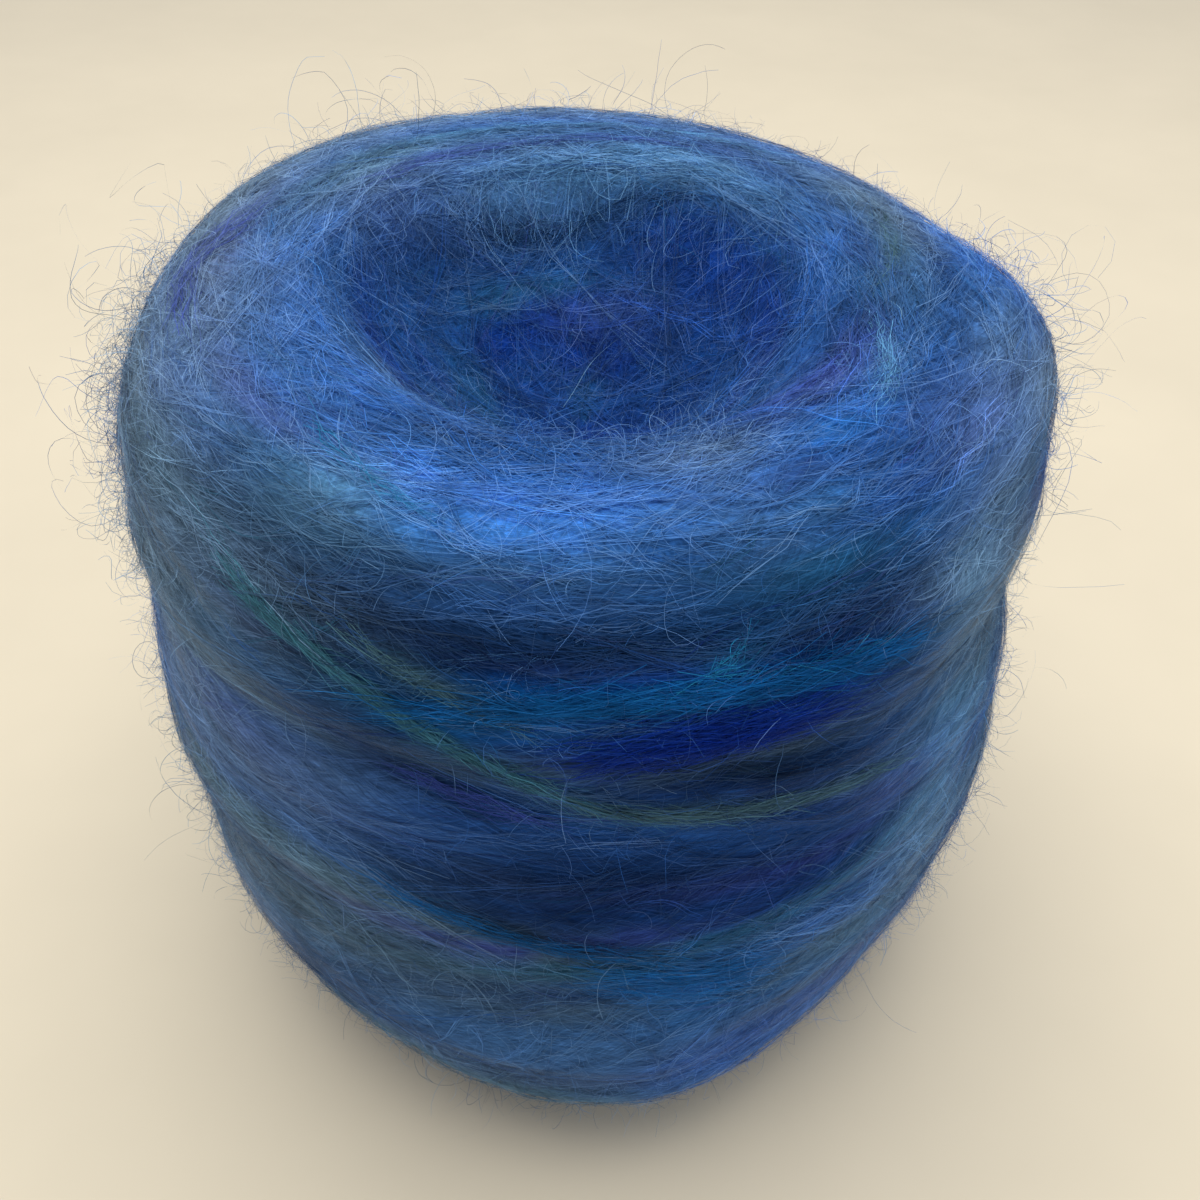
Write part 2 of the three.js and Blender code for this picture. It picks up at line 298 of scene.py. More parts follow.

# Stretches laid over the turns, some of dye and some of painted shade, sheen and light: the direction they
# face in degrees, distance along the section, spread in degrees, width in millimetres, strength, and climb
# in millimetres a degree
Stretch = namedtuple("Stretch", "dye facing along spread width strength climb", defaults=(0.0,))
DYED_AND_PAINTED_STRETCHES = (
    # rim and the broad roll under it; the pale grey-blue stretches along the rim's silhouette are partly
    # dye and partly painted sheen of fuzz seen edge-on
    Stretch("cobalt", -93, 203, 26, 8.5, 0.95),
    Stretch("cobalt", -124, 210, 20, 7, 0.45, 0.05),
    Stretch("azure", -85, 204, 13, 4.5, 0.45, -0.05),
    Stretch("azure", -112, 205, 10, 4, 0.2),
    Stretch("cobalt", -108, 197, 26, 6, 0.6),
    Stretch("steel", -102, 192, 26, 4.5, 0.85),
    Stretch("steel", -75, 198, 14, 6, 0.75),
    Stretch("royal", -80, 197, 7, 4, 0.8),
    Stretch("steel", -70, 207, 9, 5, 0.6),
    Stretch("mist", -72, 211.5, 11, 3.2, 0.5),
    Stretch("sea", -128, 197, 13, 7, 0.5),
    Stretch("navy", -133, 198, 11, 7, 0.3),
    Stretch("lake", -48, 207, 9, 5, 0.5),
    Stretch("sea", -62, 190, 15, 4.5, 0.7),
    Stretch("royal", -46, 200, 18, 8, 0.85),
    Stretch("sea", -60, 198, 8, 5, 0.4),
    Stretch("sky", -28, 211, 8, 3, 0.3),
    Stretch("royal", -30, 204, 8, 4, 0.5),
    Stretch("royal", -14, 203, 17, 9, 0.8),
    Stretch("steel", -4, 213, 11, 5, 0.6),
    Stretch("slate", -16, 197, 14, 5, 0.5),
    Stretch("mist", -18, 189, 11, 5, 0.8),
    Stretch("olive", 11, 209, 7, 3, 0.55, -0.15),
    Stretch("violet", 178, 200, 16, 8, 0.5),
    Stretch("steel", -163, 200, 14, 8, 0.7),
    Stretch("royal", -161, 208, 13, 6, 0.35),
    Stretch("royal", -166, 213, 24, 7, 0.5),
    Stretch("mist", -167, 191, 20, 6, 0.75),
    Stretch("mist", 105, 199, 60, 6, 0.75),
    Stretch("navy", -13, 217, 17, 5.5, 0.65),
    Stretch("sea", -3, 215, 10, 5, 0.4),
    Stretch("navy", -113, 213, 14, 4, 0.75),
    Stretch("royal", -143, 195, 9, 6, 0.6),
    Stretch("sky", -121, 202, 7, 4, 0.5),
    Stretch("royal", -49, 195.5, 11, 5, 0.45),
    Stretch("mist", 164, 198, 30, 8, 0.8),
    Stretch("violet", 64, 212, 20, 5, 0.55),
    Stretch("violet", 140, 224, 18, 5, 0.6),
    Stretch("cobalt", 106, 205, 24, 5, 0.5),
    Stretch("steel", 95, 213, 30, 6, 0.7),
    Stretch("steel", 150, 211, 18, 5, 0.5),
    Stretch("azure", -114, 209, 8, 3.5, 0.5),
    Stretch("slate", -121, 196, 7, 4, 0.45),
    Stretch("violet", -154, 195, 10, 5, 0.3),
    # hollow
    Stretch("royal", 0, 240, 400, 16, 0.55),
    Stretch("ultramarine", 0, 262, 400, 16, 0.45),
    Stretch("navy", 0, 264, 400, 12, 0.5),
    Stretch("ultramarine", 28, 239, 26, 8, 0.8),
    Stretch("ultramarine", 2, 234, 16, 6, 0.5),
    # painted shadow: the thin navy line along the far terrace, under its overhang
    Stretch("navy", 98, 230, 38, 3, 0.35),
    Stretch("steel", 100, 219, 45, 7, 0.6),
    Stretch("violet", 112, 222, 30, 4, 0.4),
    # the pale grey-blue stretches on the crest, seen edge-on, are partly painted sheen
    Stretch("mist", 142, 214, 24, 8, 0.45),
    Stretch("mist", -174, 208, 16, 8, 0.3),
    Stretch("royal", 20, 245, 50, 12, 0.6),
    Stretch("steel", 40, 221, 20, 7, 0.6),
    Stretch("sky", 68, 218.5, 24, 5, 0.55),
    Stretch("violet", 120, 222, 16, 5, 0.5),
    Stretch("sky", 115, 222, 22, 5, 0.3),
    Stretch("steel", 97, 225, 30, 5, 0.5),
    Stretch("royal", 190, 237, 26, 8, 0.6),
    Stretch("ultramarine", -160, 237, 14, 7, 0.3),
    Stretch("navy", 142, 236, 20, 7, 0.45),
    Stretch("navy", -18, 219, 14, 4.5, 0.5),
    # painted light: the broad sky stretch lightens the steep far inner wall where it lies in shade
    Stretch("sky", 90, 224, 42, 5, 0.55),
    # painted shade under the roll: the near-black stretches lie in the groove that the roll's overhang
    # shades
    Stretch("ink", -91, 185, 38, 5.2, 0.95),
    Stretch("ink", -111, 182, 14, 5, 0.85, -0.1),
    Stretch("ink", -64, 180.5, 12, 4.2, 0.8, 0.1),
    Stretch("ink", -117, 184, 12, 5.5, 0.8),
    Stretch("ink", -57, 176, 9, 6, 0.75),
    Stretch("navy", -58, 167, 9, 4, 0.7),
    Stretch("cobalt", -97, 191, 13, 2.6, 0.4),
    Stretch("ink", -114, 178.5, 12, 7, 0.8, -0.3),
    # upper front
    Stretch("teal", -93, 177.5, 20, 2.8, 0.95),
    Stretch("teal", -62, 175.5, 16, 2.6, 0.6),
    Stretch("aqua", -75, 181.5, 4, 2, 0.3, 0.25),
    Stretch("ultramarine", -77, 171.3, 12, 4.4, 0.95),
    Stretch("ultramarine", -92, 169.5, 9, 3, 0.55, -0.1),
    Stretch("sea", -110, 173.5, 17, 1.3, 0.8, -0.55),
    # painted shade: a near-black stretch below the crossing strands
    Stretch("ink", -114, 170.5, 11, 4, 0.5, -0.5),
    Stretch("olive", -105, 178.5, 5, 1.6, 0.8, -0.4),
    Stretch("olive", -78, 156.4, 15, 1.7, 0.85, -0.18),
    Stretch("navy", -117, 165, 16, 5, 0.8, -0.4),
    # lower front: the near-black stretches are painted shade under the ultramarine strand and across the
    # front's middle, and the pale grey-blue one near the bottom is partly painted sheen
    Stretch("ink", -69, 162, 17, 4, 0.92, -0.3),
    Stretch("navy", -89, 146, 22, 8, 0.9),
    Stretch("ink", -88, 143, 20, 7, 0.55),
    Stretch("navy", -103, 158, 13, 5, 0.85, -0.2),
    Stretch("navy", -68, 145, 15, 6, 0.6),
    Stretch("ink", -96, 131.5, 17, 4, 0.7, -0.45),
    Stretch("navy", -95, 110, 16, 6, 0.4),
    Stretch("cobalt", -60, 124, 13, 6, 0.65, 0.1),
    Stretch("slate", -113, 116, 20, 8, 0.6),
    Stretch("steel", -93, 101, 28, 8, 0.6),
    Stretch("violet", -71, 93, 12, 8, 0.6),
    Stretch("navy", -116, 154, 10, 5, 0.4),
    Stretch("slate", -122, 157, 12, 8, 0.5),
    Stretch("mist", -92, 83, 46, 10, 0.5),
    Stretch("cobalt", -72, 90, 14, 8, 0.5),
    Stretch("lake", -76, 117, 8, 9.5, 0.97),
    Stretch("azure", -76, 115, 7, 6, 0.5),
    Stretch("cobalt", -71, 90, 10, 7, 0.4),
    # sides, where the pale grey-blue stretches near the silhouette are partly dye and partly painted sheen
    # of fuzz seen edge-on
    Stretch("mist", -148, 172, 22, 30, 0.5),
    Stretch("slate", -138, 179, 18, 12, 0.6),
    Stretch("violet", -134, 154, 12, 7, 0.55),
    Stretch("slate", -128, 133, 18, 11, 0.65),
    Stretch("slate", -149, 188, 15, 6, 0.65),
    Stretch("navy", -139, 196.5, 9, 5, 0.4),
    Stretch("mist", -34, 176, 8, 16, 0.8),
    Stretch("royal", -56, 161, 8, 9, 0.55),
    Stretch("steel", -47, 155, 7, 9, 0.6),
    Stretch("mist", -42, 129, 8, 11, 0.7),
    Stretch("slate", -45, 179, 9, 7, 0.55),
    Stretch("royal", -54, 168, 7, 5, 0.4),
    Stretch("teal", -35, 181, 9, 4, 0.25),
    Stretch("steel", -31, 124, 13, 26, 0.6),
    Stretch("sky", -44, 134, 9, 9, 0.6),
    Stretch("violet", -50, 147, 8, 6, 0.55),
    Stretch("sky", -40, 149, 9, 8, 0.45),
    Stretch("mist", -135, 149, 16, 8, 0.5),
    Stretch("mist", -150, 164, 13, 20, 0.65),
    Stretch("mist", -147, 108, 20, 22, 0.55),
    Stretch("steel", -36, 100, 18, 18, 0.5),
    Stretch("sky", -51, 110, 8, 8, 0.35),
    Stretch("mist", -38, 97, 14, 12, 0.45),
    Stretch("slate", -127, 119, 14, 10, 0.8),
    Stretch("navy", -116, 166, 9, 4.5, 0.5, -0.5),
    Stretch("mist", 28, 203, 14, 6, 0.6),
    Stretch("mist", -43, 178, 6, 6, 0.6),
    Stretch("sky", -43, 178, 6, 6, 0.3),
    # back and far sides
    Stretch("steel", 4, 122, 20, 26, 0.55),
    Stretch("royal", 6, 168, 17, 12, 0.6),
    Stretch("cobalt", 14, 146, 16, 6, 0.5, 0.1),
    Stretch("steel", 130, 100, 45, 24, 0.55),
    Stretch("cobalt", 112, 92, 18, 7, 0.5, 0.1),
    Stretch("royal", 150, 114, 20, 7, 0.5, -0.1),
    Stretch("teal", 135, 128, 22, 4, 0.5),
    Stretch("royal", 175, 160, 16, 14, 0.5),
)

# Dyes of the odd hairs mixed in everywhere
MIXED_IN = ("cobalt", "teal", "violet", "royal", "ultramarine", "sea", "steel")

# Distinct strands that show over the other turns: a path of directions in degrees and distances along
# the section, the strand's half-width and length of hair in millimetres, and its number of hairs
LaidStrand = namedtuple("LaidStrand", "dye path half_width length hairs")
LAID_STRANDS = (
    # front
    LaidStrand("reed", ((-128, 182.3), (-116, 177.7), (-100, 167.3), (-88, 159.6)), 0.42, 15, 380),
    LaidStrand("olive", ((-96, 164.5), (-85, 158.2), (-72, 155.2), (-54, 152)), 0.75, 14, 270),
    LaidStrand("teal", ((-106, 174.5), (-92, 178), (-75, 178), (-56, 176.5)), 1.9, 15, 480),
    LaidStrand("aqua", ((-84, 178.2), (-75, 178.8), (-60, 178)), 0.4, 13, 60),
    LaidStrand("aqua", ((-78, 180), (-75, 182), (-73, 184.4)), 0.7, 5, 26),
    LaidStrand("olive", ((-112, 181), (-105, 178.3), (-99, 175.4)), 0.8, 9, 60),
    LaidStrand("ultramarine", ((-89, 169.4), (-78, 171.3), (-65, 172)), 4.4, 12, 640),
    LaidStrand("teal", ((-110, 136.5), (-97, 131.5), (-82, 127)), 1.6, 15, 150),
    LaidStrand("violet", ((-108, 161.5), (-102, 159.4), (-95, 157)), 1.8, 9, 90),
    LaidStrand("lake", ((-87, 121), (-77, 118), (-68, 116)), 8.0, 11, 560),
    # rim and hollow
    # painted shade along the far inner wall's terraces: the near-black and navy strands lie in the shadow
    # of their overhang
    LaidStrand("ink", ((58, 229), (80, 231), (104, 230.5), (136, 228)), 1.0, 13, 90),
    LaidStrand("navy", ((40, 222), (70, 224.5), (110, 224), (150, 222)), 1.0, 14, 110),
    LaidStrand("violet", ((72, 214), (104, 217), (140, 216)), 1.6, 14, 140),
    LaidStrand("sky", ((60, 205), (90, 208), (128, 207)), 0.7, 15, 130),
    LaidStrand("olive", ((2, 212), (11, 209), (22, 206)), 0.8, 10, 60),
    LaidStrand("sky", ((-36, 208), (-28, 210.4), (-20, 213)), 1.0, 9, 80),
    LaidStrand("violet", ((166, 205), (180, 201), (194, 200)), 3.2, 14, 110),
    LaidStrand("aqua", ((-130, 206), (-120, 203), (-108, 200)), 1.6, 10, 30),
)

# Loose locks: direction in degrees and its spread, distance along the section and its spread, number
# of hairs, their length in millimetres, curl in turns a centimetre, how far they stand out, how much
# their curls drift outward, and how pale they are
Lock = namedtuple("Lock", "facing spread along width count length curl stand drift pale")
LOOSE_LOCKS = (
    Lock(178, 12, 190, 8, 40, 32, 0.7, 1.2, 2.4, 0.6),
    Lock(-176, 13, 186, 10, 260, 13, 1.0, 1.1, 1.2, 0.7),
    Lock(-164, 13, 174, 13, 260, 13, 1.0, 1.1, 1.3, 0.7),
    Lock(-4, 12, 176, 12, 60, 10, 0.8, 1.0, 1.0, 0.5),
    Lock(-170, 12, 178, 9, 40, 27, 0.65, 1.2, 2.2, 0.6),
    Lock(170, 16, 174, 12, 30, 22, 0.7, 1.0, 2.0, 0.6),
    Lock(-168, 14, 192, 7, 40, 16, 0.8, 1.0, 1.0, 0.6),
    Lock(3, 9, 194, 6, 90, 11, 0.7, 1.0, 1.0, 0.6),
    Lock(-6, 14, 186, 8, 70, 9, 0.6, 1.0, 1.0, 0.5),
    Lock(-8, 16, 184, 10, 16, 44, 0.3, 1.0, 0.8, 0.4),
    Lock(14, 16, 186, 10, 12, 36, 0.35, 1.0, 0.8, 0.4),
    Lock(128, 16, 206, 5, 30, 22, 0.3, 1.6, 1.6, 0.3),
    Lock(84, 12, 206, 5, 16, 20, 0.25, 1.6, 1.6, 0.3),
    Lock(105, 40, 204, 8, 40, 12, 0.5, 1.2, 1.0, 0.3),
    Lock(-40, 18, 92, 16, 14, 16, 0.5, 1.0, 1.2, 0.5),
    Lock(-20, 20, 120, 20, 14, 15, 0.5, 1.0, 1.2, 0.5),
    Lock(-28, 18, 126, 34, 220, 7, 0.9, 1.0, 1.0, 0.5),
    Lock(-152, 18, 126, 34, 220, 7, 0.9, 1.0, 1.0, 0.5),
    Lock(-80, 24, 213.5, 3, 320, 8, 0.7, 1.2, 1.0, 0.9),
    Lock(-150, 20, 120, 22, 26, 16, 0.45, 1.0, 1.2, 0.3),
    Lock(-100, 30, 70, 10, 30, 14, 0.45, 0.9, 1.0, 0.3),
    Lock(70, 60, 248, 10, 22, 30, 0.75, 0.5, 0.5, 0.8),
    Lock(165, 25, 226, 8, 16, 24, 0.6, 0.5, 0.5, 0.8),
    Lock(40, 180, 150, 40, 70, 16, 0.45, 1.0, 1.0, 0.3),
)

# Single pale hairs that show, each a path of directions in degrees, distances along the section and
# heights over the yarn in millimetres
FREE_HAIRS = (
    ((-180, 205, 1.5), (-175, 213, 2.5), (-166, 224, 3.0), (180, 235, 2.0), (170, 243, 1.0)),
    ((-178, 209, 1.0), (-170, 217, 2.0), (-160, 225, 1.5)),
    ((60, 249, 2.0), (68, 253, 4.0), (85, 257, 4.0), (110, 262, 2.5), (150, 263, 1.0)),
    ((25, 260, 1.5), (0, 255, 2.5), (-8, 247, 2.5), (-6, 239, 1.5)),
    ((-30, 214, 1.0), (-22, 211, 2.5), (-14, 211, 2.0), (-9, 214, 0.8)),
)


def length_property(name, description, millimetres):
    return FloatProperty(name=name, description=description, default=millimetres * MM, unit="LENGTH")


def count_property(name, description, default, least=0):
    return IntProperty(name=name, description=description, default=default, min=least)


def colour_property(name, description, default):
    return FloatVectorProperty(
        name=name, description=description, subtype="COLOR", size=3, min=0.0, max=1.0, default=default
    )


def dye_property(name, default):
    return colour_property(name, f"Colour of the {name.lower()} dye", default)


class YarnSizes(bpy.types.PropertyGroup):
    """Sizes of the turns and hairs"""

    turn_pitch: length_property("Turn pitch", "Distance between neighbouring turns along the section", 6.4)
    turn_relief: length_property("Turn relief", "How far a fine turn stands out of the gaps beside it", 1.0)
    nap_length: length_property("Nap length", "Mean length of the hairs that lie along the yarn", 17.0)
    nap_width: length_property("Nap width", "Width of a lying hair", 0.08)
    nap_count: count_property("Nap hairs", "Mean number of lying hairs in a piece of the nap", 9600)
    nap_wisp: count_property("Hairs in a wisp", "Number of lying hairs that keep together", 4, 1)
    halo_length: length_property("Halo length", "Mean length of the short hairs that stand out", 3.8)
    halo_width: length_property("Halo width", "Width of a standing hair", 0.046)
    halo_count: count_property("Halo hairs", "Mean number of standing hairs in a piece of the halo", 10500)
    fuzz_length: length_property("Fuzz length", "Mean length of the tangled hairs", 11.0)
    fuzz_width: length_property("Fuzz width", "Width of a tangled hair", 0.05)
    fuzz_count: count_property("Fuzz hairs", "Mean number of tangled hairs in a piece of the fuzz", 4400)
    stray_width: length_property("Stray width", "Width of a long stray hair", 0.062)


class YarnDyes(bpy.types.PropertyGroup):
    """Colours of the dyed yarn, and of the painted shade and sheen laid over it"""

    cobalt: dye_property("Cobalt", (0.032, 0.150, 0.555))
    azure: dye_property("Azure", (0.046, 0.205, 0.690))
    steel: dye_property("Steel", (0.044, 0.130, 0.335))
    navy: dye_property("Navy", (0.007, 0.036, 0.165))
    # Painted shade: a near-black laid where shade falls, in the groove under the roll, below the front's
    # strands and along the hollow's terraces
    ink: dye_property("Ink", (0.002, 0.014, 0.058))
    ultramarine: dye_property("Ultramarine", (0.001, 0.020, 0.270))
    teal: dye_property("Teal", (0.004, 0.100, 0.340))
    aqua: dye_property("Aqua", (0.012, 0.180, 0.390))
    reed: dye_property("Reed", (0.058, 0.210, 0.310))
    lake: dye_property("Lake", (0.008, 0.140, 0.470))
    sea: dye_property("Sea", (0.018, 0.120, 0.230))
    slate: dye_property("Slate", (0.085, 0.165, 0.262))
    violet: dye_property("Violet", (0.038, 0.064, 0.340))
    olive: dye_property("Olive", (0.060, 0.138, 0.180))
    royal: dye_property("Royal", (0.012, 0.072, 0.285))
    sky: dye_property("Sky", (0.110, 0.320, 0.620))
    # Mist: a pale grey blue, laid mostly along the silhouette, where it is partly dye and partly painted
    # sheen of fuzz seen edge-on
    mist: dye_property("Mist", (0.150, 0.230, 0.325))
    haze: dye_property("Haze", (0.165, 0.268, 0.410))


class StageSettings(bpy.types.PropertyGroup):
    """Floor, light and camera"""

    floor_colour: colour_property("Floor colour", "Colour of the plain floor", (0.645, 0.602, 0.525))
    sky_strength: FloatProperty(
        name="Room light", description="Strength of the even light from all round", default=0.5, min=0.0
    )
    key_power: FloatProperty(
        name="Key light",
        description="Power of the large soft light above",
        default=11.2,
        min=0.0,
        unit="POWER",
    )
    camera_distance: length_property("Camera distance", "From the camera to the ball's middle", 226.0)
    camera_elevation: FloatProperty(
        name="Camera elevation",
        description="Angle of the camera above the middle of the ball",
        default=math.radians(44.0),
        unit="ROTATION",
    )


def palette():
    """Dye colours, and those of painted shade and sheen, by name, as arrays."""
    dyes = bpy.context.scene.yarn_dyes
    return {name: np.array(getattr(dyes, name)[:]) for name in YarnDyes.__annotations__}


def smooth(value, low, high):
    """Share of the way from a low to a high value, eased at both ends."""
    share = np.clip((value - low) / (high - low), 0.0, 1.0)
    return share * share * (3 - 2 * share)


def soften(grid, times):
    """Evens a grid of values, which joins up round the ball and stops at the section's ends."""
    for _ in range(times):
        grid = (np.roll(grid, 1, 0) + 2 * grid + np.roll(grid, -1, 0)) / 4
        padded = np.concatenate([grid[:, :1], grid, grid[:, -1:]], 1)
        grid = (padded[:, :-2] + 2 * padded[:, 1:-1] + padded[:, 2:]) / 4
    return grid


def soften_line(line, times):
    """Evens the values along a line in place, and keeps its ends."""
    for _ in range(times):
        line[1:-1] = (line[:-2] + 2 * line[1:-1] + line[2:]) / 4


def unit(vectors):
    return vectors / np.maximum(np.linalg.norm(vectors, axis=-1, keepdims=True), TINY)


def directions(facing, climb):
    level = np.cos(climb)
    return np.stack([level * np.cos(facing), level * np.sin(facing), np.sin(climb) + 0 * facing], -1)


class WoundForm:
    """The ball's form, measured on its solid, with the fine turns, their dyes and painted shade and sheen
    laid over it.
    """

    def __init__(self):
        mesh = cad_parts[NODE].data
        places = [vertex.co for vertex in mesh.vertices]
        faces = [tuple(face.vertices) for face in mesh.polygons]
        self.tree = BVHTree.FromPolygons(places, faces)
        self.core = np.array([0.0, 0.0, CORE_HEIGHT])
        self.measure_section()
        self.measure_surface()
        self.wind_turns()
        self.raise_turns()
        self.dye_turns()

    def reach(self, facing, climb):
        """Distance from the core to the solid's surface, in millimetres, for grids of directions."""
        origin = Vector(self.core * MM)
        rays = directions(facing, climb)
        found = np.empty(rays.shape[:-1])
        for index in np.ndindex(found.shape):
            _, _, _, distance = self.tree.ray_cast(origin, Vector(rays[index]))
            if distance is None:
                raise RuntimeError("the wound form can't be measured on its solid")
            found[index] = distance / MM
        return found

    def measure_section(self):
        """Mean section of the ball, from the middle of the flat spot to that of the hollow."""
        climb = np.linspace(-math.pi / 2, math.pi / 2, SURVEY_ROWS)
        facing = (np.arange(SURVEY_STEPS) + SURVEY_SHIFT) * TAU / SURVEY_STEPS
        mean = self.reach(*np.meshgrid(facing, climb, indexing="ij")).mean(0)
        radius, height = mean * np.cos(climb), mean * np.sin(climb)
        steps = np.hypot(np.diff(radius), np.diff(height))
        along = np.concatenate([[0.0], np.cumsum(steps)])
        self.end = along[-1]
        self.along = np.linspace(0.0, self.end, SECTION_ROWS)
        self.step = self.along[1]
        self.climb = np.interp(self.along, along, climb)
        self.section_radius = np.interp(self.along, along, radius)
        self.crest = self.along[np.argmax(np.interp(self.along, along, height))]

    def measure_surface(self):
        """Form of the ball on a grid of directions, with the solid's facets evened out."""
        self.facing = np.arange(ROUND_STEPS) * TAU / ROUND_STEPS
        self.facings, self.alongs = np.meshgrid(self.facing, self.along, indexing="ij")
        climbs = np.broadcast_to(self.climb, self.facings.shape)
        distance = soften(self.reach(self.facings, climbs), FACET_SOFTENING)
        self.form = self.core + distance[..., None] * directions(self.facings, climbs)
        self.form_normal = self.normals(self.form)

    def normals(self, places):
        round_way = np.roll(places, -1, 0) - np.roll(places, 1, 0)
        up_way = np.gradient(places, axis=1)
        found = unit(np.cross(round_way, up_way))
        found[:, 0] = (0.0, 0.0, -1.0)
        found[:, -1] = (0.0, 0.0, 1.0)
        return found

    def wind_turns(self):
        """Lays out the fine turns: where each one runs, its lean, width and height."""
        draw = np.random.default_rng(SEEDS["turns"])
        pitch = bpy.context.scene.yarn_sizes.turn_pitch / MM
        count = int((self.end - TURNS_BEGIN) / pitch)
        along = TURNS_BEGIN + pitch * (np.arange(count) + draw.uniform(*TURN_PLACES, count))
        lean = np.interp(along, *TURN_LEANS) * draw.uniform(*LEAN_SHARES, count)
        toward = draw.uniform(0, TAU, count)
        half_width = pitch * draw.uniform(*TURN_HALF_WIDTHS, count)
        layer = draw.uniform(0.0, 1.0, count) * np.interp(along, *TURN_LAYERS)
        strands = np.array(CROSSING_STRANDS)
        strands[:, 2] = np.radians(strands[:, 2])
        self.turns = np.concatenate([np.stack([along, lean, toward, half_width, layer], 1), strands])

    def raise_turns(self):
        """Raises the fine turns out of the form, the upper one wherever they cross."""
        facing, along = self.facings, self.alongs
        relief = bpy.context.scene.yarn_sizes.turn_relief / MM
        height = np.full(facing.shape, LEAST_RELIEF * relief)
        nearest = np.full(facing.shape, np.inf)
        owner = np.zeros(facing.shape, int)
        slope = np.zeros(facing.shape)
        across = along.copy()
        for index, (middle, lean, toward, half_width, layer) in enumerate(self.turns):
            centre = middle + lean * np.cos(facing - toward)
            off = np.abs(along - centre) / half_width
            raised = layer + relief * np.clip(1 - off * off, 0.0, 1.0) ** TURN_ROUNDNESS
            over = (off < 1) & (raised > height)
            bare = (nearest >= 1) & (off < nearest)
            nearest = np.where(over, 0.0, np.where(bare, off, nearest))
            top = over | bare
            height = np.where(over, raised, height)
            owner = np.where(top, index, owner)
            slope = np.where(top, -lean * np.sin(facing - toward), slope)
            across = np.where(top, along - centre + LAY_SHIFT * index, across)
        fade = smooth(along, TURNS_BEGIN, TURNS_BEGIN + TURNS_FADE_IN)
        fade = fade * smooth(self.end - along, *TURNS_FADE_OUT)
        fade = fade * (1 - TOP_LOWERING * smooth(along, *TOP_LOWERED))
        height = soften(height, RELIEF_SOFTENING) * fade
        # Painted shade: the depth of each place below the evened relief, which darkens the colours in the
        # gaps between turns
        self.shaded_gap_depth = np.clip(soften(height, GAP_SOFTENING) - height, 0.0, 1.0)
        self.owner, self.across = owner, across
        self.slope = soften(slope, RELIEF_SOFTENING) * fade
        raised = height - height.mean() * fade - TURNS_SUNK * fade
        self.surface = self.form + self.form_normal * raised[..., None]
        self.surface[..., 2] = np.maximum(self.surface[..., 2], 0.0)
        self.normal = self.normals(soften(self.surface, 1))
        self.body_distance = np.linalg.norm(self.surface - self.core, axis=-1)

    def dye_turns(self):
        """Colours of the turns: stops along each one, then the stretches given in the table."""
        draw = np.random.default_rng(SEEDS["dyes"])
        dyes = palette()
        stops = np.empty((len(self.turns), COLOUR_STOPS, 3))
        for index, turn in enumerate(self.turns):
            zone = [zone for zone in DYE_ZONES if turn[0] >= zone.along][-1]
            names, shares = list(zone.shares), np.array(list(zone.shares.values()))
            picks = draw.choice(len(names), COLOUR_STOPS, p=shares / shares.sum())
            stops[index] = [dyes[names[pick]] for pick in picks]
        phase = draw.uniform(0, COLOUR_STOPS, len(self.turns))
        spot = self.facings / TAU * COLOUR_STOPS + phase[self.owner]
        first = np.floor(spot).astype(int)
        blend = smooth(spot - first, *COLOUR_BLEND)[..., None]
        colour = (1 - blend) * stops[self.owner, first % COLOUR_STOPS]
        colour = colour + blend * stops[self.owner, (first + 1) % COLOUR_STOPS]
        colour = soften(colour, 1)
        # Stretches of dye, and of painted shade, sheen and light, laid over the turns' colours
        for dyed in DYED_AND_PAINTED_STRETCHES:
            turned = (np.degrees(self.facings) - dyed.facing + 180) % 360 - 180
            off = self.alongs - dyed.along - dyed.climb * turned
            share = np.exp(-((turned / dyed.spread) ** 2) - (off / dyed.width) ** 2)
            share = (dyed.strength * share)[..., None]
            colour = colour * (1 - share) + dyes[dyed.dye] * share
        self.colour = colour

    def sample(self, grid, facing, along):
        """Values of a grid at places on the ball, blended between its points."""
        column = (facing / TAU % 1.0) * ROUND_STEPS
        row = np.clip(along / self.step, 0.0, LAST_ROW)
        left, low = np.floor(column).astype(int), np.floor(row).astype(int)
        share_round, share_up = column - left, row - low
        if grid.ndim == 3:
            share_round, share_up = share_round[..., None], share_up[..., None]
        left = left % ROUND_STEPS
        right = (left + 1) % ROUND_STEPS
        lower = grid[left, low] * (1 - share_round) + grid[right, low] * share_round
        upper = grid[left, low + 1] * (1 - share_round) + grid[right, low + 1] * share_round
        return lower * (1 - share_up) + upper * share_up

    def place(self, facing, along, lift):
        """Places over the yarn at a height, and the outward directions there."""
        normal = unit(self.sample(self.normal, facing, along))
        return self.sample(self.surface, facing, along) + normal * lift[..., None], normal

    def along_on_top(self, radius):
        """Distance along the section for a radius on the rim or in the hollow."""
        top = self.along >= TOP_BEGINS
        return np.interp(radius, self.section_radius[top][::-1], self.along[top][::-1])

    def keep_out(self, places, clear, settle=1.0):
        """Moves places in the ball out to its surface, and settles the others toward it, in their room."""
        away = places - self.core
        distance = np.maximum(np.linalg.norm(away, axis=-1), TINY)
        facing = np.arctan2(away[..., 1], away[..., 0])
        climb = np.arcsin(np.clip(away[..., 2] / distance, -1, 1))
        along = np.interp(climb, self.climb, self.along)
        least = self.sample(self.body_distance, facing, along) + clear
        reach = least + settle * np.maximum(distance - least, 0.0)
        places = self.core + away * (reach / distance)[..., None]
        low = np.array(CAD_BOX[0]) / MM - HAIR_ROOM
        high = np.array(CAD_BOX[1]) / MM + HAIR_ROOM
        low[2] = FLOOR_CLEARANCE
        return np.clip(places, low, high)

    def radius_at(self, along):
        return np.maximum(np.interp(along, self.along, self.section_radius), LEAST_RADIUS)

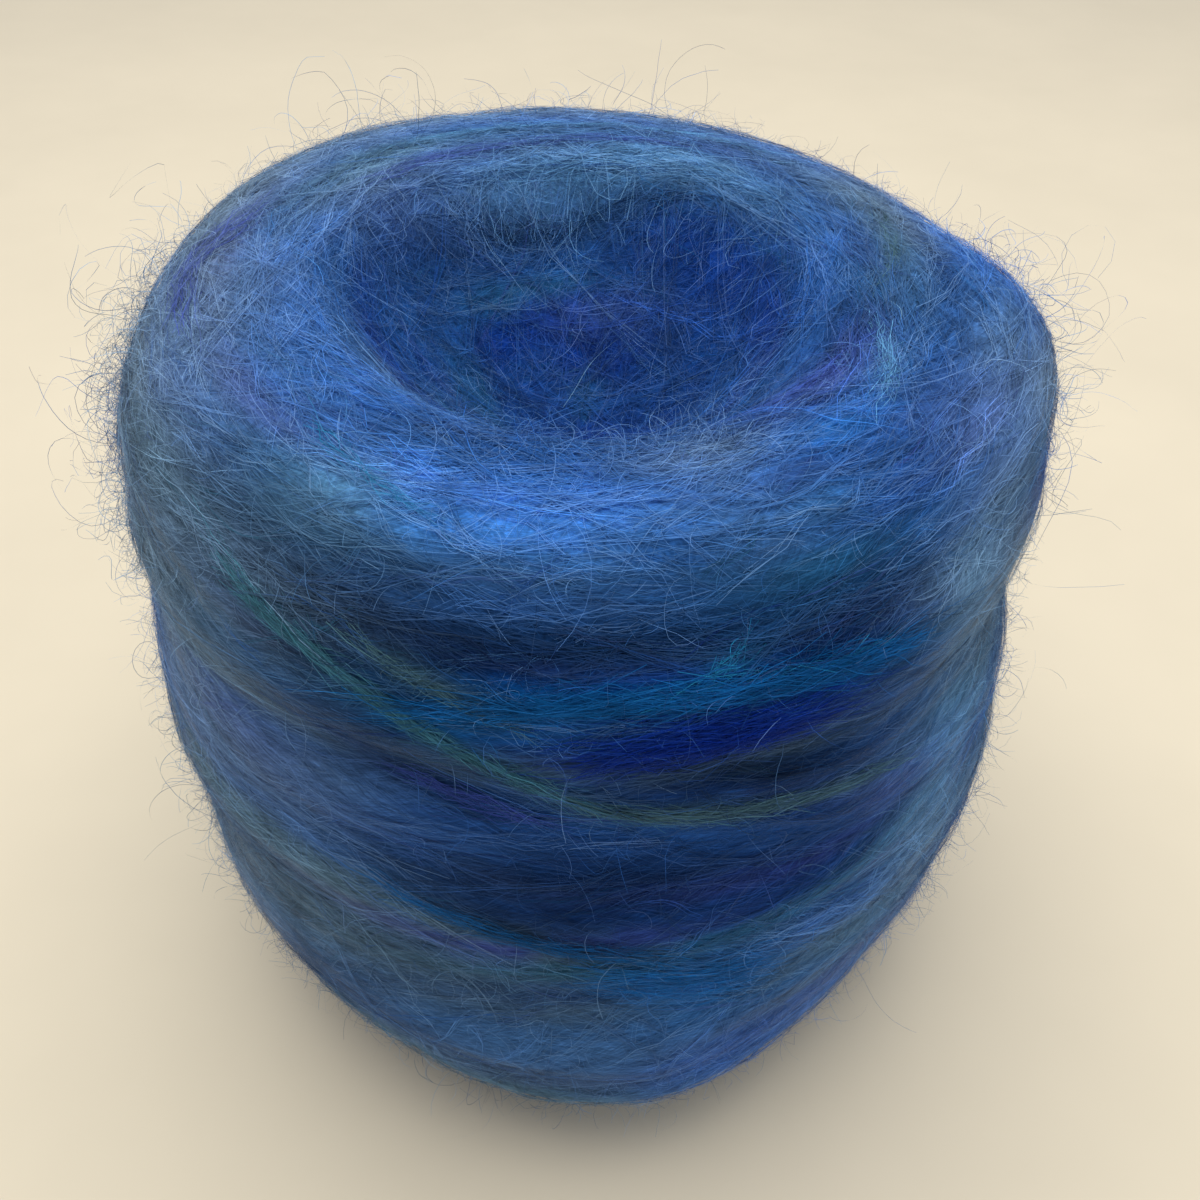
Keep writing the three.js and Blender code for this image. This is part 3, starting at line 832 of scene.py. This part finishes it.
    def roots(self, draw, count, band, liking=1.0):
        """Places spread over a band of the ball, by area and liking."""
        inside = (self.along >= band.low) & (self.along <= band.high)
        weights = np.where(inside, self.section_radius, 0.0) * np.ones((ROUND_STEPS, 1)) * liking
        picks = draw.choice(weights.size, count, p=weights.ravel() / weights.sum())
        column, row = np.divmod(picks, SECTION_ROWS)
        facing = (column + draw.uniform(-0.5, 0.5, count)) * TAU / ROUND_STEPS
        along = (row + draw.uniform(-0.5, 0.5, count)) * self.step
        return facing, along


@cache
def wound_form():
    return WoundForm()


def make_piece(name, places, faces, colours, spots, material, lay=None):
    """A piece of the yarn from places in millimetres, arrays of faces, colours and places on its map."""
    corners = np.concatenate([each.ravel() for each in faces])
    sides = np.concatenate([np.full(len(each), each.shape[1]) for each in faces])
    mesh = bpy.data.meshes.new(name)
    mesh.vertices.add(len(places))
    mesh.vertices.foreach_set("co", (places * MM).astype(np.float32).ravel())
    mesh.loops.add(len(corners))
    mesh.loops.foreach_set("vertex_index", corners.astype(np.int32))
    mesh.polygons.add(len(sides))
    mesh.polygons.foreach_set("loop_start", (np.cumsum(sides) - sides).astype(np.int32))
    mesh.polygons.foreach_set("use_smooth", np.ones(len(sides), bool))
    mesh.update(calc_edges=True)
    dye = mesh.color_attributes.new("dye", "FLOAT_COLOR", "POINT")
    full = np.concatenate([colours, np.ones((len(colours), 1))], 1)
    dye.data.foreach_set("color", full.astype(np.float32).ravel())
    if lay is not None:
        vectors = mesh.attributes.new("lay", "FLOAT_VECTOR", "POINT")
        vectors.data.foreach_set("vector", lay.astype(np.float32).ravel())
    layer = mesh.uv_layers.new(name="OFBake")
    layer.uv.foreach_set("vector", spots.astype(np.float32).ravel())
    mesh.materials.append(material)
    piece = bpy.data.objects.new(name, mesh)
    bpy.context.scene.collection.objects.link(piece)
    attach(piece, "root")
    return piece


def hair_map(count, points):
    """Places on the map for the corners of the hairs' faces in order, in a cell for each hair."""
    across = math.ceil(math.sqrt(count))
    hair = np.arange(count)
    corner = np.stack([hair % across, hair // across], 1)[:, None, None]
    ends = np.linspace(0, 1, points)
    begin, finish = ends[:-1], ends[1:]
    left, right = np.zeros(points - 1), np.ones(points - 1)
    face = np.stack([left, begin, right, begin, right, finish, left, finish], -1).reshape(-1, 4, 2)
    return ((corner + MAP_INSET + (1 - 2 * MAP_INSET) * face) / across).reshape(-1, 2)


def taper(points):
    """Width along a hair, as a share of its widest."""
    share = np.linspace(TIP_INSET, 1 - TIP_INSET, points)
    return TIP_WIDTH + (1 - TIP_WIDTH) * np.sin(np.pi * share) ** TIP_FULLNESS


def ribbons(name, places, normals, width, roll, colours, material):
    """Hairs as thin flat strips along centre lines, facing outward and rolled a little."""
    count, points = places.shape[:2]
    along = unit(np.gradient(places, axis=1))
    flat = unit(np.cross(along, normals))
    side = flat * np.cos(roll)[:, None, None] + normals * np.sin(roll)[:, None, None]
    half = side * (0.5 * width[:, None] * taper(points))[..., None]
    corners = np.stack([places - half, places + half], 2)
    first = (np.arange(count)[:, None] * points + np.arange(points - 1)) * 2
    quads = np.stack([first, first + 1, first + 3, first + 2], -1).reshape(-1, 4)
    every = np.repeat(np.broadcast_to(colours, places.shape).reshape(-1, 3), 2, 0)
    return make_piece(name, corners.reshape(-1, 3), [quads], every, hair_map(count, points), material)


def any_way(draw, count):
    """Directions to face, one for each hair."""
    return unit(draw.normal(size=(count, 1, 3)))


def length_shares(draw, count, lengths):
    """Lengths of hairs, as shares of the mean one."""
    return np.clip(draw.gamma(lengths.shape, lengths.scale, count), lengths.least, lengths.most)


def lightness(colours):
    """How light dyes are, as a share of a middling one."""
    return np.clip(colours @ np.array(LIGHTNESS_WEIGHTS) / MIDDLING_DYE, *LIGHTNESS_LIMITS)


def hair_colours(draw, under, pale, wisp=1):
    """Colours along hairs from the colours under them, with other-coloured wisps among them and paler ones.

    The colours under the hairs, painted shade and sheen among them, are for each hair and each point along
    it.
    """
    dyes = palette()
    hairs, count = len(under), len(under) // wisp

    def each(values):
        return np.repeat(values, wisp, 0).reshape(hairs, 1, -1)

    shade = each(draw.normal(0, WISP_SHADE, count)) + draw.normal(0, HAIR_SHADE, (hairs, 1, 1))
    other = np.array([dyes[name] for name in MIXED_IN])[draw.integers(len(MIXED_IN), size=count)]
    mixed = each((draw.random(count) < MIXED_SHARE) * draw.uniform(*MIXED_STRENGTH, count))
    light = lightness(under.mean(1, keepdims=True))[..., None]
    colour = under * np.exp(shade) * (1 - mixed) + each(other) * np.minimum(light, 1.0) * mixed
    faded = pale * light**FADING_BY_LIGHT * each(draw.gamma(*FADING, count))
    faded = np.clip(faded, 0.0, MOST_FADED)
    paler = PALE_HAZE * dyes["haze"] + PALE_UNDER * under
    return np.clip(colour * (1 - faded) + paler * faded, 0.0, LIGHTEST)


def lying_hairs(form, draw, roots, heading, length, lift, on_top=False, wisp=1):
    """Centre lines of hairs that lie on the ball, the outward directions and the colours under them."""
    count = len(heading)
    hairs = count * wisp
    length = length * length_shares(draw, count, NAP_LENGTHS)
    share = np.linspace(-0.5, 0.5, NAP_POINTS)
    run = share * length[:, None]
    size = draw.uniform(*WAVE_SIZES, (count, 1))
    turned = TAU * run / draw.uniform(*WAVE_LENGTHS, (count, 1))
    wave = size * np.sin(turned + draw.uniform(0, TAU, (count, 1)))
    bow = draw.normal(0, BOW, (count, 1)) * (share**2 - BOW_CROSSING) * length[:, None]
    stagger = np.repeat(length, wisp)[:, None] * draw.normal(0, WISP_STAGGER, (hairs, 1))
    run = np.repeat(run, wisp, 0) + stagger
    off = np.repeat(wave + bow, wisp, 0) + draw.normal(0, WISP_FAN, (hairs, 1)) * share
    off = off + draw.normal(0, WISP_SPREAD, (hairs, 1))
    facing, along, heading, lift = (np.repeat(each, wisp)[:, None] for each in (*roots, heading, lift))
    radius = form.radius_at(along)
    ahead = run * np.cos(heading) - off * np.sin(heading)
    across = run * np.sin(heading) + off * np.cos(heading)
    if on_top:
        out = np.stack([np.cos(facing), np.sin(facing)], -1)
        way = np.stack([-np.sin(facing), np.cos(facing)], -1)
        spot = out * (radius - across)[..., None] + way * ahead[..., None]
        hair_facing = np.arctan2(spot[..., 1], spot[..., 0])
        hair_along = form.along_on_top(np.linalg.norm(spot, axis=-1))
    else:
        hair_facing = facing + ahead / radius
        hair_along = along + across
    raised = lift + draw.exponential(MIDDLE_RISE, (hairs, 1)) * (1 - 4 * share**2)
    for end in (2 * share, -2 * share):
        raised = raised + draw.exponential(END_RISE, (hairs, 1)) * np.clip(end, 0, 1) ** 2
    places, normals = form.place(hair_facing, hair_along, raised)
    places[..., 2] = np.maximum(places[..., 2], FLOOR_CLEARANCE)
    root = form.sample(form.colour, facing, along)
    local = form.sample(form.colour, hair_facing, hair_along)
    return places, normals, ROOT_DYE * root + (1 - ROOT_DYE) * local


def curling_hairs(form, draw, roots, length, points, stand, curl, drift, clear=CLEARANCE, settle=1.0):
    """Centre lines of hairs that leave the ball and curl, from roots on its surface, and the colours there.
    """
    facing, along = roots
    count = len(facing)
    root, normal = form.place(facing, along, np.full(count, ROOT_LIFT))
    round_way = np.stack([-np.sin(facing), np.cos(facing), 0 * facing], 1)
    up_way = np.cross(normal, round_way)
    turn = draw.uniform(0, TAU, (count, 1))
    lean = round_way * np.cos(turn) + up_way * np.sin(turn) * LEAN_UP
    heading = unit(normal * (stand * draw.uniform(*STAND_SHARES, count))[:, None] + lean)
    axis = unit(draw.normal(size=(count, 3)) + drift * normal)
    step = (length / (points - 1))[:, None]
    angle = curl[:, None] * TAU / CENTIMETRE * step
    places = np.empty((count, points, 3))
    places[:, 0] = root
    for index in range(1, points):
        side = np.cross(axis, heading)
        sway = draw.normal(0, HAIR_SWAY, (count, 3))
        heading = unit(heading * np.cos(angle) + side * np.sin(angle) + sway)
        axis = unit(axis + draw.normal(0, CURL_SWAY, (count, 3)))
        places[:, index] = places[:, index - 1] + heading * step
    places[:, 1:] = form.keep_out(places[:, 1:], clear, settle)
    return places, form.sample(form.colour, facing, along)[:, None]


def smooth_path(knots, turned):
    """Distance along the section and its climb a degree, on a smooth path through a strand's knots."""
    fine = np.linspace(knots[0, 0], knots[-1, 0], PATH_STEPS)
    along = np.interp(fine, knots[:, 0], knots[:, 1])
    soften_line(along, PATH_SOFTENING)
    return np.interp(turned, fine, along), np.interp(turned, fine, np.gradient(along, fine))


def free_hair(form, knots):
    """Centre line of one hair along a smooth path through its knots over the yarn."""
    facing = np.unwrap(np.radians(knots[:, 0]))
    places, _ = form.place(facing, knots[:, 1], knots[:, 2])
    spots = np.linspace(0, len(knots) - 1, STRAY_POINTS)
    line = np.stack([np.interp(spots, np.arange(len(knots)), places[:, axis]) for axis in range(3)], 1)
    soften_line(line, FREE_HAIR_SOFTENING)
    return form.keep_out(line, FREE_HAIR_CLEARANCE)[None]


def new_material(name):
    material = bpy.data.materials.new(name)
    material.use_nodes = True
    return material, material.node_tree, material.node_tree.nodes["Principled BSDF"]


def set_inputs(tree, node, inputs):
    """Sets a node's inputs, each to a value or to another node's output."""
    for socket, given in inputs.items():
        if isinstance(given, bpy.types.NodeSocket):
            tree.links.new(given, node.inputs[socket])
        else:
            node.inputs[socket].default_value = given


def add_node(tree, kind, inputs, **settings):
    node = tree.nodes.new(kind)
    for name, setting in settings.items():
        setattr(node, name, setting)
    set_inputs(tree, node, inputs)
    return node


def attribute(tree, name, output):
    return add_node(tree, "ShaderNodeAttribute", {}, attribute_name=name).outputs[output]


def object_place(tree):
    return add_node(tree, "ShaderNodeTexCoord", {}).outputs["Object"]


def noise(tree, place, detail, roughness):
    inputs = {"Vector": place, "Scale": 1.0, "Detail": detail, "Roughness": roughness}
    return add_node(tree, "ShaderNodeTexNoise", inputs).outputs["Fac"]


def streak_noise(tree, source, scale, detail, offset):
    """Noise that is as fine along each axis as its scale says."""
    inputs = {0: source, 1: scale, 2: (offset, offset, offset)}
    spot = add_node(tree, "ShaderNodeVectorMath", inputs, operation="MULTIPLY_ADD")
    return noise(tree, spot.outputs[0], detail, STREAK_ROUGHNESS)


def tangle_noise(tree, lean, offset):
    """Noise drawn out level with the floor and leaned over, like hairs that cross the winding."""
    inputs = {
        "Vector": object_place(tree),
        "Location": (offset, offset, offset),
        "Rotation": lean,
        "Scale": TANGLE_SIZE,
    }
    turn = add_node(tree, "ShaderNodeMapping", inputs, vector_type="TEXTURE")
    return noise(tree, turn.outputs["Vector"], TANGLE_DETAIL, TANGLE_ROUGHNESS)


def shaded(tree, colour, source, low, high):
    """A colour between two shades of it, by the values of a noise."""
    span = {"Value": source, "From Min": NOISE_LOW, "From Max": NOISE_HIGH, "To Min": low, "To Max": high}
    shade = add_node(tree, "ShaderNodeMapRange", span).outputs["Result"]
    tint = add_node(tree, "ShaderNodeVectorMath", {0: colour, "Scale": shade}, operation="SCALE")
    return tint.outputs[0]


def soft_finish(tree, shader, base, roughness, sheen):
    finish = {
        "Base Color": base,
        "Roughness": roughness,
        "Specular IOR Level": FIBRE_SPECULAR,
        "Sheen Weight": sheen,
        "Sheen Roughness": SHEEN_ROUGHNESS,
        "Sheen Tint": SHEEN_TINT,
    }
    set_inputs(tree, shader, finish)


def yarn_material():
    """Packed fibres of the turns: dyed streaks that follow the winding, with a soft sheen."""
    material, tree, shader = new_material("mohair_turns")
    lay = attribute(tree, "lay", "Vector")
    fine = streak_noise(tree, lay, *FINE_STREAKS)
    base = shaded(tree, attribute(tree, "dye", "Color"), fine, *FINE_SHADE)
    base = shaded(tree, base, streak_noise(tree, lay, *BROAD_STREAKS), *BROAD_SHADE)
    for lean, offset in TANGLE_LEANS:
        base = shaded(tree, base, tangle_noise(tree, lean, offset), *TANGLE_SHADE)
    bump = add_node(tree, "ShaderNodeBump", {"Height": fine, **STREAK_BUMP})
    set_inputs(tree, shader, {"Normal": bump.outputs["Normal"]})
    soft_finish(tree, shader, base, TURNS_ROUGHNESS, TURNS_SHEEN)
    return material


def fibre_material(name, sheen):
    """Single dyed hairs, with a little change of shade along them."""
    material, tree, shader = new_material(name)
    streaks = streak_noise(tree, object_place(tree), *HAIR_STREAKS)
    base = shaded(tree, attribute(tree, "dye", "Color"), streaks, *HAIR_STREAK_SHADE)
    soft_finish(tree, shader, base, HAIR_ROUGHNESS, sheen)
    return material


def floor_material():
    """Plain pale floor, with a faint mottle."""
    material, tree, shader = new_material("pale_floor")
    mottle = streak_noise(tree, object_place(tree), *FLOOR_MOTTLE)
    base = shaded(tree, bpy.context.scene.yarn_stage.floor_colour, mottle, *FLOOR_SHADE)
    finish = {"Base Color": base, "Roughness": FLOOR_ROUGHNESS, "Specular IOR Level": FLOOR_SPECULAR}
    set_inputs(tree, shader, finish)
    return material


class YARN_OT_wound_turns(bpy.types.Operator):
    """Make the wound body of the ball, with its fine turns, dyes and painted shade in the gaps"""

    bl_idname = "yarn.wound_turns"
    bl_label = "Wound turns"

    def execute(self, context):
        form = wound_form()
        lay = np.stack([np.cos(form.facings), np.sin(form.facings), form.across], -1)
        # Painted shade: the colours are darkened in the gaps between the turns, where shade falls
        colour = form.colour * (1 - PAINTED_GAP_SHADE * form.shaded_gap_depth[..., None])
        places, colours, lays = (self.closed(grid) for grid in (form.surface, colour, lay))
        rows = SECTION_ROWS - 2
        faces, spots = self.body_faces(rows), self.body_map(rows)
        piece = make_piece("wound_turns", places, faces, colours, spots, yarn_material(), lays)
        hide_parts(NODE)
        return {"FINISHED"}

    def closed(self, grid):
        """Values of a grid in one list, with those of each end of the section once, at the end."""
        return np.concatenate([grid[:, 1:-1].reshape(-1, 3), grid[:1, 0], grid[:1, -1]])

    def body_faces(self, rows):
        """Faces of the closed body: sheets between its rows, and a fan at each end of the section."""
        begin = np.arange(ROUND_STEPS) * rows
        beside = np.roll(begin, -1)
        foot = np.full(ROUND_STEPS, ROUND_STEPS * rows)
        low_fan = np.stack([beside, begin, foot], -1)
        high_fan = np.stack([begin + rows - 1, beside + rows - 1, foot + 1], -1)
        row = np.arange(rows - 1)
        this, after = begin[:, None] + row, beside[:, None] + row
        sheets = np.stack([this, after, after + 1, this + 1], -1).reshape(-1, 4)
        return [sheets, low_fan, high_fan]

    def body_map(self, rows):
        """Places on a map that runs round the ball and along its section, for the faces' corners."""
        near = np.arange(ROUND_STEPS) / ROUND_STEPS
        far = near + 1 / ROUND_STEPS
        low = np.arange(1, rows) / (rows + 1)
        left, low_side = np.meshgrid(near, low, indexing="ij")
        right, high_side = np.meshgrid(far, low + 1 / (rows + 1), indexing="ij")
        sheets = np.stack([left, low_side, right, low_side, right, high_side, left, high_side], -1)
        middle = (near + far) / 2
        edge = np.full(ROUND_STEPS, low[0])
        low_fan = np.stack([far, edge, near, edge, middle, 0 * edge], -1)
        high_fan = np.stack([near, 1 - edge, far, 1 - edge, middle, 0 * edge + 1], -1)
        return np.concatenate([each.reshape(-1, 2) for each in (sheets, low_fan, high_fan)])


class YARN_OT_nap(bpy.types.Operator):
    """Lay the brushed nap along the winding, on the sides, the rim and in the hollow"""

    bl_idname = "yarn.nap"
    bl_label = "Nap"

    def execute(self, context):
        form = wound_form()
        sizes = context.scene.yarn_sizes
        material = fibre_material("mohair_nap", NAP_SHEEN)
        draw = np.random.default_rng(SEEDS["nap"])
        length, wisp = sizes.nap_length / MM, sizes.nap_wisp
        for band in self.bands(form):
            count = round(band.share * sizes.nap_count / wisp)
            roots = form.roots(draw, count, band)
            heading = np.arctan2(form.sample(form.slope, *roots), form.radius_at(roots[1]))
            wander = draw.normal(0, 1, count) * np.interp(roots[1], *NAP_WANDER)
            heading = heading + np.clip(wander, -MOST_WANDER, MOST_WANDER)
            lift = draw.uniform(*NAP_LIFT, count)
            hairs = lying_hairs(form, draw, roots, heading, length, lift, band.on_top, wisp)
            places, normals, under = hairs
            colours = hair_colours(draw, under, NAP_PALE, wisp)
            width = sizes.nap_width / MM * draw.uniform(*WIDTHS, len(places))
            roll = draw.normal(0, NAP_ROLL, len(places))
            ribbons(band.piece, places, normals, width, roll, colours, material)
        return {"FINISHED"}

    def bands(self, form):
        """Bands of the nap: those of the sides, and two that overlap at the crest."""
        rim_ends = form.crest + RIM_NAP_PAST_CREST
        hollow_begins = form.crest - HOLLOW_NAP_SHORT_OF_CREST
        return (
            *SIDE_NAP,
            Band("nap_rim", RIM_NAP_BEGINS, rim_ends, RIM_NAP_SHARE),
            Band("nap_hollow", hollow_begins, form.end, HOLLOW_NAP_SHARE, True),
        )


class YARN_OT_laid_strands(bpy.types.Operator):
    """Lay the distinct strands that show over the other turns, dyed ones and some of painted shade"""

    bl_idname = "yarn.laid_strands"
    bl_label = "Laid strands"

    def execute(self, context):
        form = wound_form()
        draw = np.random.default_rng(SEEDS["strands"])
        found = [self.strand_hairs(form, draw, strand) for strand in LAID_STRANDS]
        places, normals, colours = (np.concatenate(part) for part in zip(*found))
        width = context.scene.yarn_sizes.nap_width / MM * draw.uniform(*WIDTHS, len(places))
        roll = draw.normal(0, NAP_ROLL, len(places))
        material = fibre_material("mohair_strand", STRAND_SHEEN)
        ribbons("laid_strands", places, normals, width, roll, colours, material)
        return {"FINISHED"}

    def strand_hairs(self, form, draw, strand):
        """Centre lines, outward directions and colours of one strand's hairs."""
        count = strand.hairs
        knots = np.array(strand.path, float)
        turned = draw.uniform(knots[0, 0], knots[-1, 0], count)
        middle, climb = smooth_path(knots, turned)
        side = np.clip(draw.normal(0, STRAND_SPREAD, count), -STRAND_EDGE, STRAND_EDGE)
        along = middle + side * strand.half_width
        heading = np.arctan2(np.degrees(climb), form.radius_at(along))
        heading = heading + draw.normal(0, STRAND_WANDER, count)
        mound = np.clip(1 - side**2, 0, 1) * min(MOUND_SHARE * strand.half_width, MOST_MOUND)
        lift = STRAND_LIFT + mound * draw.uniform(*MOUND_FILL, count)
        roots = (np.radians(turned), along)
        places, normals, under = lying_hairs(form, draw, roots, heading, strand.length, lift)
        shade = np.exp(draw.normal(0, STRAND_SHADE, (count, 1, 1)))
        under = hair_colours(draw, under, STRAND_PALE)
        kept = draw.uniform(*STRAND_DYE_KEPT, (count, 1, 1))
        colours = under * (1 - kept) + palette()[strand.dye] * shade * kept
        return places, normals, np.clip(colours, 0, LIGHTEST)


class YARN_OT_halo(bpy.types.Operator):
    """Stand the short fine hairs of the halo all round the ball"""

    bl_idname = "yarn.halo"
    bl_label = "Halo"

    def execute(self, context):
        form = wound_form()
        sizes = context.scene.yarn_sizes
        material = fibre_material("mohair_halo", HALO_SHEEN)
        draw = np.random.default_rng(SEEDS["halo"])
        for band in HALO_BANDS:
            count = round(band.share * sizes.halo_count)
            roots = form.roots(draw, count, band)
            length = sizes.halo_length / MM * length_shares(draw, count, HALO_LENGTHS)
            curl = draw.uniform(*HALO_CURLS, count)
            stand = draw.uniform(*HALO_STANDS, count)
            places, under = curling_hairs(form, draw, roots, length, HALO_POINTS, stand, curl, HALO_DRIFT)
            colours = hair_colours(draw, under, HALO_PALE)
            width = sizes.halo_width / MM * draw.uniform(*HALO_WIDTHS, count)
            outward = any_way(draw, count)
            ribbons(band.piece, places, outward, width, np.zeros(count), colours, material)
        return {"FINISHED"}


class YARN_OT_fuzz(bpy.types.Operator):
    """Tangle the loose fuzz close over the surface, thickest on the paler yarn"""

    bl_idname = "yarn.fuzz"
    bl_label = "Fuzz"

    def execute(self, context):
        form = wound_form()
        sizes = context.scene.yarn_sizes
        material = fibre_material("mohair_fuzz", FUZZ_SHEEN)
        draw = np.random.default_rng(SEEDS["fuzz"])
        liking = lightness(form.colour) * np.interp(form.along, *FUZZ_LIKING)
        for band in FUZZ_BANDS:
            count = round(band.share * sizes.fuzz_count)
            roots = form.roots(draw, count, band, liking)
            length = sizes.fuzz_length / MM * length_shares(draw, count, FUZZ_LENGTHS)
            curl = draw.uniform(*FUZZ_CURLS, count)
            stand = draw.uniform(*FUZZ_STANDS, count)
            clear = FUZZ_CLEARANCE + draw.exponential(FUZZ_CLEARANCE, (count, 1))
            places, under = curling_hairs(
                form, draw, roots, length, FUZZ_POINTS, stand, curl, FUZZ_DRIFT, clear, FUZZ_SETTLING
            )
            colours = hair_colours(draw, under, np.interp(roots[1], *FUZZ_PALE)[:, None, None])
            width = sizes.fuzz_width / MM * draw.uniform(*WIDTHS, count)
            outward = unit(unit(places - form.core) + FUZZ_TUMBLE * any_way(draw, count))
            ribbons(band.piece, places, outward, width, np.zeros(count), colours, material)
        return {"FINISHED"}


class YARN_OT_stray_hairs(bpy.types.Operator):
    """Pull out the long stray hairs and the loose curled locks"""

    bl_idname = "yarn.stray_hairs"
    bl_label = "Stray hairs"

    def execute(self, context):
        form = wound_form()
        draw = np.random.default_rng(SEEDS["strays"])
        dyes = palette()
        found = [self.lock_hairs(form, draw, lock) for lock in LOOSE_LOCKS]
        bleached = BLEACHED_SKY * dyes["sky"] + BLEACHED_HAZE * dyes["haze"]
        found += [(free_hair(form, np.array(path, float)), bleached[None, None]) for path in FREE_HAIRS]
        places, colours = (np.concatenate(part) for part in zip(*found))
        count = len(places)
        width = context.scene.yarn_sizes.stray_width / MM * draw.uniform(*STRAY_WIDTHS, count)
        outward = any_way(draw, count)
        material = fibre_material("mohair_stray", STRAY_SHEEN)
        ribbons("stray_hairs", places, outward, width, np.zeros(count), colours, material)
        return {"FINISHED"}

    def lock_hairs(self, form, draw, lock):
        """Centre lines and dyes of one loose lock's hairs."""
        count = lock.count
        facing = np.radians(lock.facing + lock.spread * draw.normal(0, LOCK_SPREAD, count))
        along = lock.along + lock.width * draw.normal(0, LOCK_SPREAD, count)
        roots = (facing, np.clip(along, TURNS_BEGIN, form.end - LOCK_INSET))
        length = lock.length * draw.uniform(*LOCK_LENGTHS, count)
        curl = lock.curl * draw.uniform(*LOCK_CURLS, count)
        hairs = curling_hairs(form, draw, roots, length, STRAY_POINTS, lock.stand, curl, lock.drift)
        places, under = hairs
        return places, hair_colours(draw, under, lock.pale)


class YARN_OT_stage(bpy.types.Operator):
    """Set out the plain pale floor, the soft light and the camera"""

    bl_idname = "yarn.stage"
    bl_label = "Stage"

    def execute(self, context):
        scene = context.scene
        settings = scene.yarn_stage
        self.make_floor(scene)
        self.make_light(scene, settings)
        self.make_camera(scene, settings)
        return {"FINISHED"}

    def make_floor(self, scene):
        """A wide level floor."""
        mesh = bpy.data.meshes.new("floor")
        sides = ((-1, -1), (1, -1), (1, 1), (-1, 1))
        corners = [(x * FLOOR_REACH, y * FLOOR_REACH, 0.0) for x, y in sides]
        mesh.from_pydata(corners, [], [(0, 1, 2, 3)])
        mesh.materials.append(floor_material())
        floor = bpy.data.objects.new("floor", mesh)
        scene.collection.objects.link(floor)

    def make_light(self, scene, settings):
        """An even light from all round, a large soft light above and a faint one from the side."""
        world = bpy.data.worlds.new("room_light")
        world.use_nodes = True
        tree = world.node_tree
        room = {"Color": ROOM_TINT, "Strength": settings.sky_strength}
        set_inputs(tree, tree.nodes["Background"], room)
        scene.world = world
        self.soft_light(scene, "key", KEY_PLACE, KEY_SIZE, settings.key_power, KEY_TINT)
        self.soft_light(scene, "fill", FILL_PLACE, FILL_SIZE, settings.key_power * FILL_SHARE, FILL_TINT)
        scene.view_settings.view_transform = "Standard"
        scene.view_settings.look = "None"

    def soft_light(self, scene, name, place, size, power, colour):
        light = bpy.data.lights.new(name, "AREA")
        light.shape = "DISK"
        light.size = size
        light.energy = power
        light.color = colour
        lamp = bpy.data.objects.new(name, light)
        scene.collection.objects.link(lamp)
        lamp.location = place
        lamp.visible_camera = False
        aim = Vector(LIGHTS_AIM) - Vector(place)
        lamp.rotation_euler = aim.to_track_quat("-Z", "Y").to_euler()

    def make_camera(self, scene, settings):
        """A camera above the front, turned a little so that the ball sits well in the picture."""
        middle = (CAD_BOX[0] + CAD_BOX[1]) / 2
        tilt = settings.camera_elevation
        back = Vector((0.0, -math.cos(tilt), math.sin(tilt)))
        place = Vector((middle.x, middle.y, CAMERA_AIM)) + back * settings.camera_distance
        pixels = PICTURE_WIDTH * LENS / FILM_WIDTH
        nod = Matrix.Rotation(math.pi / 2 - tilt + math.atan(LOOK_UP / pixels), 4, "X")
        aside = Matrix.Rotation(math.atan(LOOK_ASIDE / pixels), 4, "Y")
        data = bpy.data.cameras.new("camera")
        data.sensor_width = FILM_WIDTH
        data.lens = LENS
        data.clip_start = NEAREST_VIEW
        camera = bpy.data.objects.new("camera", data)
        camera.matrix_world = Matrix.Translation(place) @ nod @ aside
        scene.collection.objects.link(camera)
        scene.camera = camera


class YARN_PT_panel(bpy.types.Panel):
    """Lists the steps that dress the ball"""

    bl_label = "Wound mohair ball"
    bl_idname = "YARN_PT_panel"
    bl_space_type = "VIEW_3D"
    bl_region_type = "UI"
    bl_category = "Yarn"

    def draw(self, context):
        column = self.layout.column(align=True)
        for step in STEPS:
            column.operator(step.bl_idname)
        for group in (context.scene.yarn_sizes, context.scene.yarn_dyes, context.scene.yarn_stage):
            box = self.layout.box()
            for name in type(group).__annotations__:
                box.prop(group, name)


STEPS = (
    YARN_OT_stage,
    YARN_OT_wound_turns,
    YARN_OT_nap,
    YARN_OT_laid_strands,
    YARN_OT_halo,
    YARN_OT_fuzz,
    YARN_OT_stray_hairs,
)
CLASSES = (YarnSizes, YarnDyes, StageSettings, *STEPS, YARN_PT_panel)


def register():
    for each in CLASSES:
        bpy.utils.register_class(each)
    bpy.types.Scene.yarn_sizes = PointerProperty(type=YarnSizes)
    bpy.types.Scene.yarn_dyes = PointerProperty(type=YarnDyes)
    bpy.types.Scene.yarn_stage = PointerProperty(type=StageSettings)


def unregister():
    del bpy.types.Scene.yarn_stage
    del bpy.types.Scene.yarn_dyes
    del bpy.types.Scene.yarn_sizes
    for each in reversed(CLASSES):
        bpy.utils.unregister_class(each)


def main():
    register()
    bpy.ops.yarn.stage()
    bpy.ops.yarn.wound_turns()
    bpy.ops.yarn.nap()
    bpy.ops.yarn.laid_strands()
    bpy.ops.yarn.halo()
    bpy.ops.yarn.fuzz()
    bpy.ops.yarn.stray_hairs()


if __name__ == "__main__":
    main()
